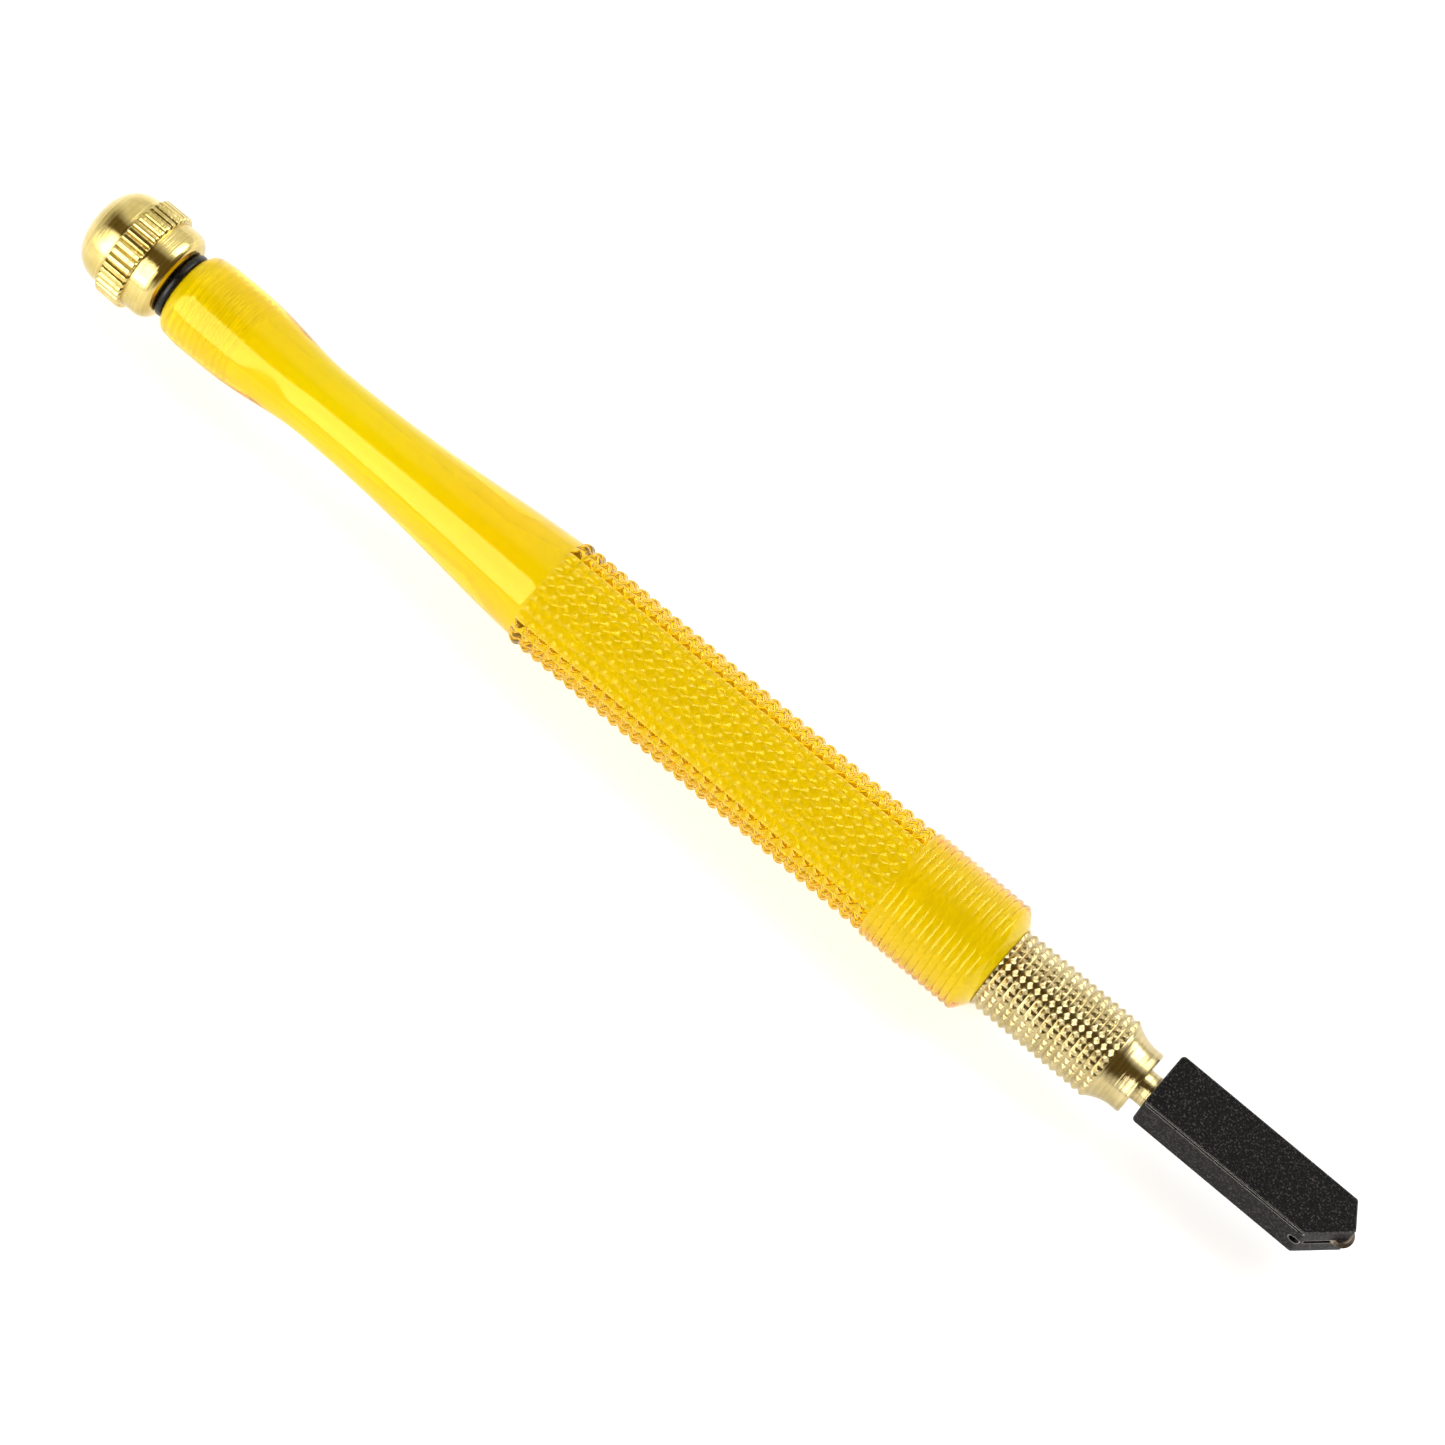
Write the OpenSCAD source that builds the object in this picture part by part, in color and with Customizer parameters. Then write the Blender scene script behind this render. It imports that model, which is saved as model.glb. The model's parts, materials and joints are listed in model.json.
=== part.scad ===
// Oil-fed glass cutter: hollow barrel, screwed filler cap, sprung oil valve and swivelling head.
// The tool lies along X with the head at +X. The origin is on the barrel's axis, at mid length.
// The head's wide faces look along +Z and -Z, and the wheel's axle lies along Z.

/* [Overall] */
// Length from the dome of the cap to the rim of the wheel
total_len = 175; // [172:1:180]

/* [Barrel] */
// Radius of the swelling behind the waist
bulge_r = 5.38; // [5.2:0.02:5.6]
// Radius of the waist
waist_r = 4.24; // [4.2:0.02:4.6]
// Radius where the smooth stem meets the beaded grip
shoulder_r = 6.35; // [6.0:0.05:6.6]
// Radius over the beads
bead_r = 6.80; // [6.5:0.05:7.0]
// Depth of the grooves between beads
bead_depth = 0.5; // [0.2:0.05:0.6]
// Number of bead rows along the grip
bead_rows = 32; // [20:1:34]
// Length of one bead
bead_pitch = 1.547; // [1.3:0.001:1.55]
// Radius over the rings in front of the beads
rib_r = 7.0; // [6.9:0.02:7.2]
// Depth of the grooves between rings
rib_depth = 0.24; // [0.1:0.02:0.4]
// Number of rings
rib_rows = 14; // [8:1:14]
// Length of one ring
rib_pitch = 0.912; // [0.8:0.001:0.92]
// Radius of the oil reservoir inside the grip
reservoir_r = 4.2; // [3.8:0.1:4.4]
// Radius of the oil way through the waist
neck_bore_r = 3.0; // [2.9:0.02:3.04]

/* [Filler cap] */
// Radius over the flutes of the grip band
cap_band_r = 6.25; // [6.0:0.05:6.4]
// Radius of the plain parts of the cap
cap_r = 5.62; // [5.4:0.02:5.8]
// Number of flutes
cap_flutes = 40; // [24:1:60]
// Radius of the screw thread on the stud
stud_r = 3.0; // [2.8:0.02:3.0]
// Length of the stud below the cap
stud_len = 8.2; // [6:0.2:9]
// Thread pitch of the stud
thread_pitch = 0.8; // [0.7:0.05:1]

/* [Collar] */
// Radius over the knurl
collar_r = 5.05; // [4.9:0.05:5.3]
// Length of the knurled part
collar_knurl_len = 15.7; // [14:0.1:16]
// Number of knurl rings
collar_rings = 16; // [10:1:18]
// Depth of the knurl
knurl_depth = 0.26; // [0.1:0.02:0.3]
// Radius of the nose in front of the cone
nose_r = 3.9; // [3.6:0.05:4.2]
// Radius of the threaded spigot inside the barrel
spigot_r = 4.4; // [4.3:0.02:4.4]

/* [Oil valve] */
// Longest push of the head into the collar
press_travel = 0.8; // [0.4:0.1:1]
// Radius of the valve spring's wire
spring_wire_r = 0.25; // [0.15:0.05:0.3]
// Turns of the valve spring
spring_turns = 6; // [4:1:7]

/* [Head] */
// Radius of the shank
shank_r = 1.94; // [1.9:0.01:2]
// Length of the head block from its back to its tip
head_len = 25.75; // [24:0.25:27]
// Width of the head block's wide faces
head_w = 7.1; // [6.6:0.1:7.6]
// Thickness of the head block
head_t = 5.8; // [5:0.1:6.2]
// Offset of the head block from the shank's axis
head_offset = 0.95; // [0.6:0.05:1.2]
// Swing of the head each way
swivel_deg = 15; // [5:1:18]

/* [Wheel] */
// Radius of the cutting wheel
wheel_r = 1.5; // [1.4:0.05:1.6]
// Thickness of the cutting wheel
wheel_t = 0.8; // [0.7:0.05:0.9]
// Stand-out of the wheel from the tip
wheel_proud = 0.6; // [0.4:0.05:0.7]
// Radius of the axle
axle_r = 0.4; // [0.3:0.05:0.5]

/* [Hidden] */

$fn = 96;
eps = 0.01;              // overlap of joined shapes and run-out of cuts
run_gap = 0.05;          // radial clearance of a running fit
fit_gap = 0.02;          // clearance of parts that are fixed together
thread_gap = 0.08;       // radial clearance between a male and a female thread's crests
thread_depth = 0.25;     // depth of a thread's grooves
round_steps = 6;         // straight steps in a rounded corner

// stations along the axis, from the back to the front
cap_x = -total_len / 2;
cap_len = 11.3;
cap_front_x = cap_x + cap_len;
seal_gap = 1.1;
barrel_x = cap_front_x + seal_gap;
bulge_x = barrel_x + 5.6;
waist_x = barrel_x + 19.7;
wheel_x = total_len / 2 - wheel_r;
tip_x = total_len / 2 - wheel_proud;
head_x = tip_x - head_len;
shank_show = 1.5;
nose_x = head_x - shank_show;
nose_land = 1.05;
cone_len = 2.8;
cone_x = nose_x - nose_land;
knurl_end_x = cone_x - cone_len;
collar_x = knurl_end_x - collar_knurl_len;
front_land = 1.2;
front_land_x = collar_x - front_land;
front_round = 0.25;
rib_x = front_land_x - rib_rows * rib_pitch;
bead_x = rib_x - bead_rows * bead_pitch;

// barrel
barrel_back_r = 3.6;
barrel_back_round = 1.6;
barrel_front_r = 5.3;
stem_steps = 14;
fill_bore_r = stud_r + thread_gap;
fill_bore_len = 10.4;
fill_cone_len = 0.4;
fill_thread_x = barrel_x + 0.8;
fill_thread_turns = 11;
reservoir_x = bead_x - 1.5;
reservoir_cone = 6;
spigot_len = 10.6;
spigot_x = collar_x - spigot_len;
spigot_bore_r = spigot_r + thread_gap;
spigot_bore_x = spigot_x - 0.5;
spigot_pitch = 1;
spigot_thread_x = spigot_x + 1;
spigot_thread_turns = 7;
spigot_thread_end_x = spigot_thread_x + spigot_thread_turns * spigot_pitch;
cone_steps = 6;
nose_chamfer = 0.15;

// cap
band_x = cap_x + 4.65;
band_len = 3.4;
band_chamfer = 0.35;
dome_len = 4.3;
dome_rise = 5.0;         // radial extent of the dome's elliptical round
dome_steps = 9;
dome_power = 0.86;       // 1 is an ellipse, and less is fuller
bell_round = 1.6;
flute_r = 0.35;          // corner radius of the square cutter that makes a flute
flute_out = 0.15;        // how far the cutter stands outside the band
stud_root_r = stud_r - thread_depth;
stud_neck = 2.2;
stud_thread_turns = 7;
stud_lead = 0.4;         // taper at the stud's end
o_ring_wire_r = 0.6;
o_ring_flat = seal_gap / 2 - fit_gap;
o_ring_in_r = stud_r + run_gap;
o_ring_mid_r = o_ring_in_r + o_ring_wire_r - 0.1;

// collar and valve
chamber_r = 3.2;
guide_r = 2.8;
seat_x = collar_x + 2.9;
bush_bore_r = 3.0;
bush_bore_x = seat_x + 7.1;
screen_x = spigot_x + 1.5;
screen_t = 0.4;
ring_x = spigot_x + 0.75;
ring_t = 0.6;
ring_groove_r = 3.65;
retainer_x = screen_x + screen_t + fit_gap;
retainer_t = 1.6;
retainer_bore_r = 1.3;
o_groove_x = collar_x - 1.7;
o_groove_len = 1.0;
o_groove_r = 3.68;
collar_o_mid_r = 4.06;
collar_o_wire_r = 0.36;
flange_t = 1.2;
seal_t = 0.8;
seal_x = seat_x - fit_gap - seal_t;
flange_x = seal_x - fit_gap - flange_t;
washer_t = 0.36;
washer_x = flange_x - fit_gap - washer_t;
flange_r = chamber_r - 0.1;
stem_r = guide_r - run_gap;
stem_tail_r = 1.1;
stem_tail_len = 5.2;
stem_end_x = bush_bore_x - 0.1;
spring_mid_r = 2.35;
spring_x = retainer_x + retainer_t + spring_wire_r + fit_gap;
spring_end_x = washer_x - spring_wire_r - fit_gap;
spring_sides = 8;
spring_facets = 20;      // rings of the wire in one turn
spring_dead_turns = 0.75; // closed turns at each end
coil_gap = 0.025;
socket_r = shank_r + run_gap;
socket_x = seat_x + 1.75;
socket_throat_r = 1.4;
socket_throat_len = 1.4;
oil_hole_r = 0.5;

// bush, gland and stop pin
bush_x = bush_bore_x + 0.1;
bush_len = 4.2;
pin_r = 0.4;
pin_x = bush_x + bush_len - 1.3;
pin_half_len = 2.85;
gland_x = bush_x + bush_len + 0.1;
gland_len = 1.1;
gland_wire_r = 0.47;
gland_bush_x = gland_x + gland_len + 0.1;
window_deg = swivel_deg + asin((pin_r + run_gap) / shank_r);

// head
oil_bore_r = 0.65;
shank_x = socket_x + fit_gap;
shank_in = 6;            // length of the shank inside the head block
shank_end_x = head_x + shank_in;
wick_r = 0.58;
head_low_y = head_offset - head_w / 2;
head_high_y = head_offset + head_w / 2;
tip_rise = 4.0;          // height of the tip above the low narrow face
tip_y = head_low_y + tip_rise;
tip_half = 0.15;
low_bevel_x = tip_x - tip_rise;
high_bevel_len = 1.9;
high_bevel_x = tip_x - high_bevel_len;
wheel_gap = 0.03;        // clearance at each side of the wheel
slot_t = wheel_t + 2 * wheel_gap;
slot_x = low_bevel_x - 0.2;
port_r = 0.5;
port_deep = 1.8;
port_tilt = 22.5;        // the port halves the corner between the narrow face and the bevel
screw_r = 1.0;
screw_x = head_x + 3;
oil_way_r = 0.5;

module ring(x, len, r_in, r_out) {
    translate([x, 0, 0]) rotate([0, 90, 0]) difference() {
        cylinder(h = len, r = r_out);
        translate([0, 0, -eps]) cylinder(h = len + 2 * eps, r = r_in);
    }
}

module rod(x, len, r) {
    translate([x, 0, 0]) rotate([0, 90, 0]) cylinder(h = len, r = r);
}

module cone(x, len, r_from, r_to) {
    translate([x, 0, 0]) rotate([0, 90, 0]) cylinder(h = len, r1 = r_from, r2 = r_to);
}

// Turns an outline of [x, r] points about the X axis.
module turned(points) {
    rotate([0, 90, 0]) rotate_extrude() polygon([for (p = points) [p[1], p[0]]]);
}

// Points of a quarter round from angle a0 to a1 about [x, r].
function arc(x, r, radius, a0, a1) =
    [for (i = [0 : round_steps]) let (a = a0 + (a1 - a0) * i / round_steps)
        [x + radius * cos(a), r + radius * sin(a)]];

// Outline points of a row of V grooves from x onwards.
function grooves(x, count, pitch, crest, depth, crest_share = 0.3) =
    [for (i = [0 : count - 1]) for (p = [[0, -depth], [0.5 - crest_share / 2, 0],
        [0.5 + crest_share / 2, 0]]) [x + (i + p[0]) * pitch, crest + p[1]]];

// Radius of the smooth stem of the barrel at x.
function stem_r_at(x) = x < waist_x
    ? let (u = pow((x - bulge_x) / (waist_x - bulge_x), 1.25))
        waist_r + (bulge_r - waist_r) * (1 + cos(180 * u)) / 2
    : let (u = (x - waist_x) / (bead_x - waist_x))
        waist_r + (shoulder_r - waist_r) * ((1 - cos(180 * pow(u, 1.35))) / 4 + pow(u, 1.6) / 2);

barrel_outline = concat(
    [[barrel_x, 0]],
    arc(barrel_x + barrel_back_round, barrel_back_r, barrel_back_round, 180, 100),
    [for (i = [0 : stem_steps]) let (x = bulge_x + (waist_x - bulge_x) * i / stem_steps)
        [x, stem_r_at(x)]],
    [for (i = [1 : stem_steps]) let (x = waist_x + (bead_x - waist_x) * i / stem_steps)
        [x, stem_r_at(x)]],
    grooves(bead_x + eps, bead_rows, bead_pitch, bead_r, bead_depth, 0.4),
    grooves(rib_x, rib_rows, rib_pitch, rib_r, rib_depth),
    [[front_land_x, rib_r - rib_depth], [front_land_x + front_round, rib_r - 1.5 * front_round],
        [collar_x, barrel_front_r], [collar_x, 0]]);

module barrel() {
    color("gold") difference() {
        turned(barrel_outline);
        rod(barrel_x - eps, fill_bore_len, fill_bore_r);
        turned(concat([[fill_thread_x, 0]],
            grooves(fill_thread_x, fill_thread_turns, thread_pitch, fill_bore_r + thread_depth,
                thread_depth),
            [[fill_thread_x + fill_thread_turns * thread_pitch, 0]]));
        cone(barrel_x + fill_bore_len - 2 * eps, fill_cone_len, fill_bore_r, neck_bore_r);
        rod(barrel_x + fill_bore_len, reservoir_x - barrel_x - fill_bore_len, neck_bore_r);
        cone(reservoir_x - reservoir_cone, reservoir_cone + eps, neck_bore_r, reservoir_r);
        rod(reservoir_x, spigot_bore_x - reservoir_x + eps, reservoir_r);
        rod(spigot_bore_x, collar_x - spigot_bore_x + eps, spigot_bore_r);
        turned(concat([[spigot_thread_x, 0]],
            grooves(spigot_thread_x, spigot_thread_turns, spigot_pitch,
                spigot_bore_r + thread_depth, thread_depth),
            [[spigot_thread_end_x, 0]]));
    }
}

collar_outline = concat(
    [[spigot_x, 0], [spigot_x, spigot_r - thread_depth]],
    grooves(spigot_thread_x, spigot_thread_turns, spigot_pitch, spigot_r, thread_depth),
    [[spigot_thread_end_x, spigot_r - thread_depth], [spigot_thread_end_x, spigot_r],
        [o_groove_x, spigot_r], [o_groove_x, o_groove_r],
        [o_groove_x + o_groove_len, o_groove_r], [o_groove_x + o_groove_len, spigot_r],
        [collar_x + fit_gap, spigot_r]],
    grooves(collar_x + fit_gap, collar_rings, (collar_knurl_len - 2 * fit_gap) / collar_rings,
        collar_r, knurl_depth, 0.2),
    [for (i = [0 : cone_steps]) let (u = i / cone_steps)
        [knurl_end_x + cone_len * u, nose_r + (collar_r - knurl_depth - nose_r) * pow(1 - u, 2)]],
    [[nose_x - nose_chamfer, nose_r], [nose_x, nose_r - nose_chamfer], [nose_x, 0]]);

module collar() {
    color("khaki") difference() {
        turned(collar_outline);
        rod(spigot_x - eps, seat_x - spigot_x + eps, chamber_r);
        rod(ring_x, ring_t, ring_groove_r);
        rod(seat_x - eps, bush_bore_x - seat_x + 2 * eps, guide_r);
        rod(bush_bore_x, nose_x - bush_bore_x + eps, bush_bore_r);
    }
}

module torus(x, mid_r, wire_r) {
    translate([x, 0, 0]) rotate([0, 90, 0]) rotate_extrude()
        translate([mid_r, 0]) circle(r = wire_r, $fn = 32);
}

module collar_o_ring() {
    color("dimgray") torus(o_groove_x + o_groove_len / 2, collar_o_mid_r, collar_o_wire_r);
}

// Fine mesh disc: a rim and a grid of bars.
module filter_screen() {
    rim = 0.5;
    bars = 7;
    bar_pitch = 0.8;
    bar_t = 0.2;
    color("khaki") union() {
        ring(screen_x, screen_t, chamber_r - fit_gap - rim, chamber_r - fit_gap);
        intersection() {
            rod(screen_x, screen_t, chamber_r - fit_gap - rim / 2);
            for (i = [0 : bars - 1], a = [0, 90])
                rotate([a, 0, 0]) translate([screen_x + (screen_t - bar_t) / 2,
                    (i - (bars - 1) / 2) * bar_pitch - bar_t / 2, -chamber_r])
                    cube([bar_t, bar_t, 2 * chamber_r]);
        }
    }
}

// Split steel ring in the groove at the spigot's mouth.
module retaining_ring() {
    gap_w = 1.4;
    in_r = 2.6;
    color("silver") difference() {
        ring(ring_x + fit_gap, ring_t - 2 * fit_gap, in_r, ring_groove_r - run_gap);
        translate([ring_x - eps, -gap_w / 2, 0]) cube([ring_t + 2 * eps, gap_w, ring_groove_r]);
    }
}

// Threaded ring behind the spring, with a screwdriver slot.
module spring_retainer() {
    slot_w = 0.8;
    slot_deep = 0.5;
    color("khaki") difference() {
        ring(retainer_x, retainer_t, retainer_bore_r, chamber_r - fit_gap);
        translate([retainer_x - eps, -slot_w / 2, -chamber_r])
            cube([slot_deep, slot_w, 2 * chamber_r]);
    }
}

// Place along X of the spring's wire after t turns, with closed turns at both ends.
function spring_place(t) =
    let (pitch_turns = spring_turns - 2 * spring_dead_turns,
        open = min(max(t - spring_dead_turns, 0), pitch_turns) / pitch_turns,
        closed = min(t, spring_dead_turns) + max(t - spring_turns + spring_dead_turns, 0),
        closed_run = 2 * spring_wire_r + coil_gap,
        run = spring_end_x - spring_x)
    spring_x + closed * closed_run + open * (run - 2 * spring_dead_turns * closed_run);

module valve_spring() {
    rings = spring_turns * spring_facets;
    points = [for (i = [0 : rings], k = [0 : spring_sides - 1])
        let (t = i / spring_facets, a = 360 * t, b = 360 * k / spring_sides,
            r = spring_mid_r + spring_wire_r * cos(b))
        [spring_place(t) + spring_wire_r * sin(b), r * cos(a), r * sin(a)]];
    sides = [for (i = [0 : rings - 1], k = [0 : spring_sides - 1])
        let (n = (k + 1) % spring_sides, s = spring_sides)
        [i * s + k, i * s + n, (i + 1) * s + n, (i + 1) * s + k]];
    ends = [[for (k = [spring_sides - 1 : -1 : 0]) k],
        [for (k = [0 : spring_sides - 1]) rings * spring_sides + k]];
    color("silver") polyhedron(points = points, faces = concat(sides, ends), convexity = 8);
}

module thrust_washer() {
    color("silver") ring(washer_x, washer_t, stem_tail_r + run_gap, flange_r);
}

// Plunger of the oil valve: tail, flange and a socket for the shank.
module valve_stem() {
    color("khaki") difference() {
        union() {
            rod(flange_x - stem_tail_len, stem_tail_len + eps, stem_tail_r);
            rod(flange_x, flange_t, flange_r);
            rod(flange_x + flange_t - eps, stem_end_x - flange_x - flange_t + eps, stem_r);
        }
        rod(socket_x, stem_end_x - socket_x + eps, socket_r);
        rod(socket_x - socket_throat_len, socket_throat_len + eps, socket_throat_r);
        translate([socket_x - socket_throat_len / 2, 0, 0]) rotate([90, 0, 0])
            cylinder(h = 2 * stem_r + 1, r = oil_hole_r, center = true);
    }
}

module valve_seal() {
    color("dimgray") ring(seal_x, seal_t, stem_r + fit_gap, flange_r);
}

// Bush with two windows that stop the cross pin after the head's swing.
module swivel_bush() {
    spare = 0.1;
    window_x = pin_x - pin_r - run_gap - press_travel - spare;
    window_len = press_travel + spare + 2 * (pin_r + run_gap);
    reach = 4;
    side_y = reach * sin(window_deg);
    side_z = reach * cos(window_deg);
    color("tan") difference() {
        ring(bush_x, bush_len, socket_r, bush_bore_r - fit_gap);
        for (side = [0, 180]) rotate([side, 0, 0]) translate([window_x, 0, 0])
            rotate([90, 0, 90]) linear_extrude(window_len)
                polygon([[0, 0], [side_y, side_z], [0, reach + 1], [-side_y, side_z]]);
    }
}

module gland_o_ring() {
    color("dimgray") torus(gland_x + gland_len / 2, (socket_r + bush_bore_r) / 2, gland_wire_r);
}

module gland_bush() {
    color("khaki") ring(gland_bush_x, nose_x - gland_bush_x, socket_r, bush_bore_r - fit_gap);
}

module head_shank() {
    color("khaki") difference() {
        rod(shank_x, shank_end_x - shank_x, shank_r);
        rod(shank_x - eps, shank_end_x - shank_x + 2 * eps, oil_bore_r);
        translate([pin_x, 0, 0]) cylinder(h = 2 * shank_r + 1, r = pin_r, center = true);
    }
}

// Cross pin in two halves, one each side of the oil way.
module stop_pin() {
    inner = oil_bore_r + fit_gap;
    color("silver") for (side = [0, 180]) rotate([side, 0, 0]) translate([pin_x, 0, inner])
        cylinder(h = pin_half_len - inner, r = pin_r - fit_gap / 2);
}

module feed_wick() {
    end_gap = 0.5;
    color("white") rod(shank_x + end_gap, shank_end_x - shank_x - 2 * end_gap, wick_r);
}

// Outline of the head block's wide face.
head_outline = [[head_x, head_low_y], [low_bevel_x, head_low_y], [tip_x, tip_y - tip_half],
    [tip_x, tip_y + tip_half], [high_bevel_x, head_high_y], [head_x, head_high_y]];

module head_block() {
    color([0.16, 0.16, 0.16]) difference() {
        translate([0, 0, -head_t / 2]) linear_extrude(head_t) polygon(head_outline);
        rod(head_x - eps, shank_in + 0.1, shank_r + fit_gap);
        rod(head_x + shank_in, slot_x - head_x - shank_in, oil_way_r);
        translate([slot_x, head_low_y - 1, -slot_t / 2])
            cube([head_len, head_w + 2, slot_t]);
        translate([low_bevel_x, head_low_y, 0]) rotate([-90, 0, port_tilt])
            translate([0, 0, -port_r]) cylinder(h = port_deep, r = port_r);
        translate([wheel_x, tip_y, 0])
            cylinder(h = head_t + 1, r = axle_r + fit_gap, center = true);
        translate([screw_x, 0, 0]) rotate([-90, 0, 0])
            cylinder(h = head_high_y + eps, r = screw_r + fit_gap);
    }
}

// Grub screw with a straight slot, sunk just below the narrow face.
module head_screw() {
    slot_w = 0.4;
    slot_deep = 0.5;
    sunk = 0.25;
    top_y = head_high_y - sunk;
    foot_y = shank_r + run_gap;
    color("gray") difference() {
        translate([screw_x, foot_y, 0]) rotate([-90, 0, 0])
            cylinder(h = top_y - foot_y, r = screw_r);
        translate([screw_x - slot_w / 2, top_y - slot_deep, -screw_r])
            cube([slot_w, slot_deep + eps, 2 * screw_r]);
    }
}

// Pressed in, with its ends below the wide faces.
module wheel_axle() {
    end_gap = 0.45;
    color("dimgray") translate([wheel_x, tip_y, 0])
        cylinder(h = head_t - 2 * end_gap, r = axle_r, center = true);
}

// Cutting wheel with a ground V edge.
module cutting_wheel() {
    edge_land = 0.05;
    edge_rise = 0.37;
    flat_r = wheel_r - edge_rise;
    bore_r = axle_r + run_gap / 2;
    color("gray") translate([wheel_x, tip_y, 0]) rotate_extrude()
        polygon([[bore_r, -wheel_t / 2], [flat_r, -wheel_t / 2], [wheel_r, -edge_land / 2],
            [wheel_r, edge_land / 2], [flat_r, wheel_t / 2], [bore_r, wheel_t / 2]]);
}

// Rubber ring flattened between the cap and the barrel.
module cap_o_ring() {
    color("dimgray") translate([cap_front_x + seal_gap / 2, 0, 0]) rotate([0, 90, 0])
        rotate_extrude() intersection() {
            translate([o_ring_mid_r, 0]) circle(r = o_ring_wire_r, $fn = 32);
            translate([o_ring_in_r, -o_ring_flat]) square([2, 2 * o_ring_flat]);
        }
}

cap_outline = concat(
    [[cap_x, 0]],
    [for (i = [0 : dome_steps]) let (a = 90 * i / dome_steps)
        [cap_x + dome_len * (1 - pow(cos(a), dome_power)),
            cap_r - dome_rise * (1 - pow(sin(a), dome_power))]],
    [[band_x, cap_r], [band_x, cap_band_r - band_chamfer], [band_x + band_chamfer, cap_band_r],
        [band_x + band_len - band_chamfer, cap_band_r],
        [band_x + band_len, cap_band_r - band_chamfer], [band_x + band_len, cap_r]],
    arc(cap_front_x - bell_round, cap_r - bell_round, bell_round, 90, 0),
    [[cap_front_x, 0]]);

module fill_cap() {
    stud_x = cap_front_x - eps;
    stud_end_x = cap_front_x + stud_len;
    color("khaki") union() {
        difference() {
            turned(cap_outline);
            for (i = [0 : cap_flutes - 1]) rotate([360 * i / cap_flutes, 0, 0])
                translate([band_x - eps, 0, cap_band_r + flute_out])
                    rotate([0, 90, 0]) cylinder(h = band_len + 2 * eps, r = flute_r, $fn = 4);
        }
        turned(concat([[stud_x, 0], [stud_x, stud_r], [cap_front_x + stud_neck, stud_r]],
            grooves(cap_front_x + stud_neck, stud_thread_turns, thread_pitch, stud_r, thread_depth),
            [[stud_end_x - stud_lead, stud_root_r], [stud_end_x, stud_root_r - stud_lead],
                [stud_end_x, 0]]));
    }
}

barrel();
collar();
collar_o_ring();
filter_screen();
retaining_ring();
spring_retainer();
valve_spring();
swivel_bush();
gland_o_ring();
gland_bush();
thrust_washer();
valve_stem();
valve_seal();
head_shank();
stop_pin();
feed_wick();
head_block();
head_screw();
wheel_axle();
cutting_wheel();
cap_o_ring();
fill_cap();
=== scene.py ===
"""Looks of the oil-fed glass cutter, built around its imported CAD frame.

Turned pieces are lathed here with their full surface detail: beads, rings, knurl, flutes and
threads. The valve's coil and the head block are built here too. Each stands for its CAD node,
and the other nodes keep their CAD shapes. The tool lies along X.
Profiles are in millimetres, as in the design, and become metres when a mesh is made.
"""

import json
import math

import bmesh
import bpy
import numpy as np
from mathutils import Matrix, Vector

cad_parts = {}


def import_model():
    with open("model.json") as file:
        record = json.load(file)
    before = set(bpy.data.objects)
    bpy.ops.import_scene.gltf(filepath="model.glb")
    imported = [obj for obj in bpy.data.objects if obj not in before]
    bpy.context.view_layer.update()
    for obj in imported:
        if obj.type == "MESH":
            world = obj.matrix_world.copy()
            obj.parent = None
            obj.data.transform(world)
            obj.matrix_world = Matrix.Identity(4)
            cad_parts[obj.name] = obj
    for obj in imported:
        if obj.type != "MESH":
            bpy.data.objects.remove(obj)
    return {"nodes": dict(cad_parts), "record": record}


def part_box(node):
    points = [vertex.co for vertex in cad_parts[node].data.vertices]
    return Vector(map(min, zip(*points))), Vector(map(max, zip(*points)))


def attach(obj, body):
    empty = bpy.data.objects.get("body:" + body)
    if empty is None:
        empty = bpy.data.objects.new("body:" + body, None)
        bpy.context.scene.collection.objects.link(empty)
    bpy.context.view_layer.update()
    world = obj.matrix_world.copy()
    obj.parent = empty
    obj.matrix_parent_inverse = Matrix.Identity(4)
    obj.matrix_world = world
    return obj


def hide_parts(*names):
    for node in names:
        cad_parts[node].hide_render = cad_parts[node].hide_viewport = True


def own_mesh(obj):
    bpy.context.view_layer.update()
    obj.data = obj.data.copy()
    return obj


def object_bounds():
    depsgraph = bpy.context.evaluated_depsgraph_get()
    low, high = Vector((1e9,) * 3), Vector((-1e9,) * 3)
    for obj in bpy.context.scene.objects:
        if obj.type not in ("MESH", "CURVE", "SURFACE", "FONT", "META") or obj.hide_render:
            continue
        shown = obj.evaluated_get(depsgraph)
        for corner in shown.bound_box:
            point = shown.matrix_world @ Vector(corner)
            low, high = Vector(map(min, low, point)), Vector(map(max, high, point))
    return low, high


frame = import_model()
cad_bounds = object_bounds()

MM = 0.001
TINY = 1e-6  # mm, keeps a point on a pattern's border out of the pattern
NODES = frame["nodes"]


def node_span(node):
    """First and last x of a CAD node, in millimetres."""
    low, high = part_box(node)
    return low.x / MM, high.x / MM


# ---------------------------------------------------------------- sizes, mm

CAP_X, CAP_END_X = node_span("fill_cap")
BARREL_X, BARREL_END_X = node_span("barrel")
SPIGOT_X, NOSE_X = node_span("collar")
HEAD_X, TIP_X = node_span("head_block")
RING_X, RING_END_X = node_span("cap_o_ring")

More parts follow.
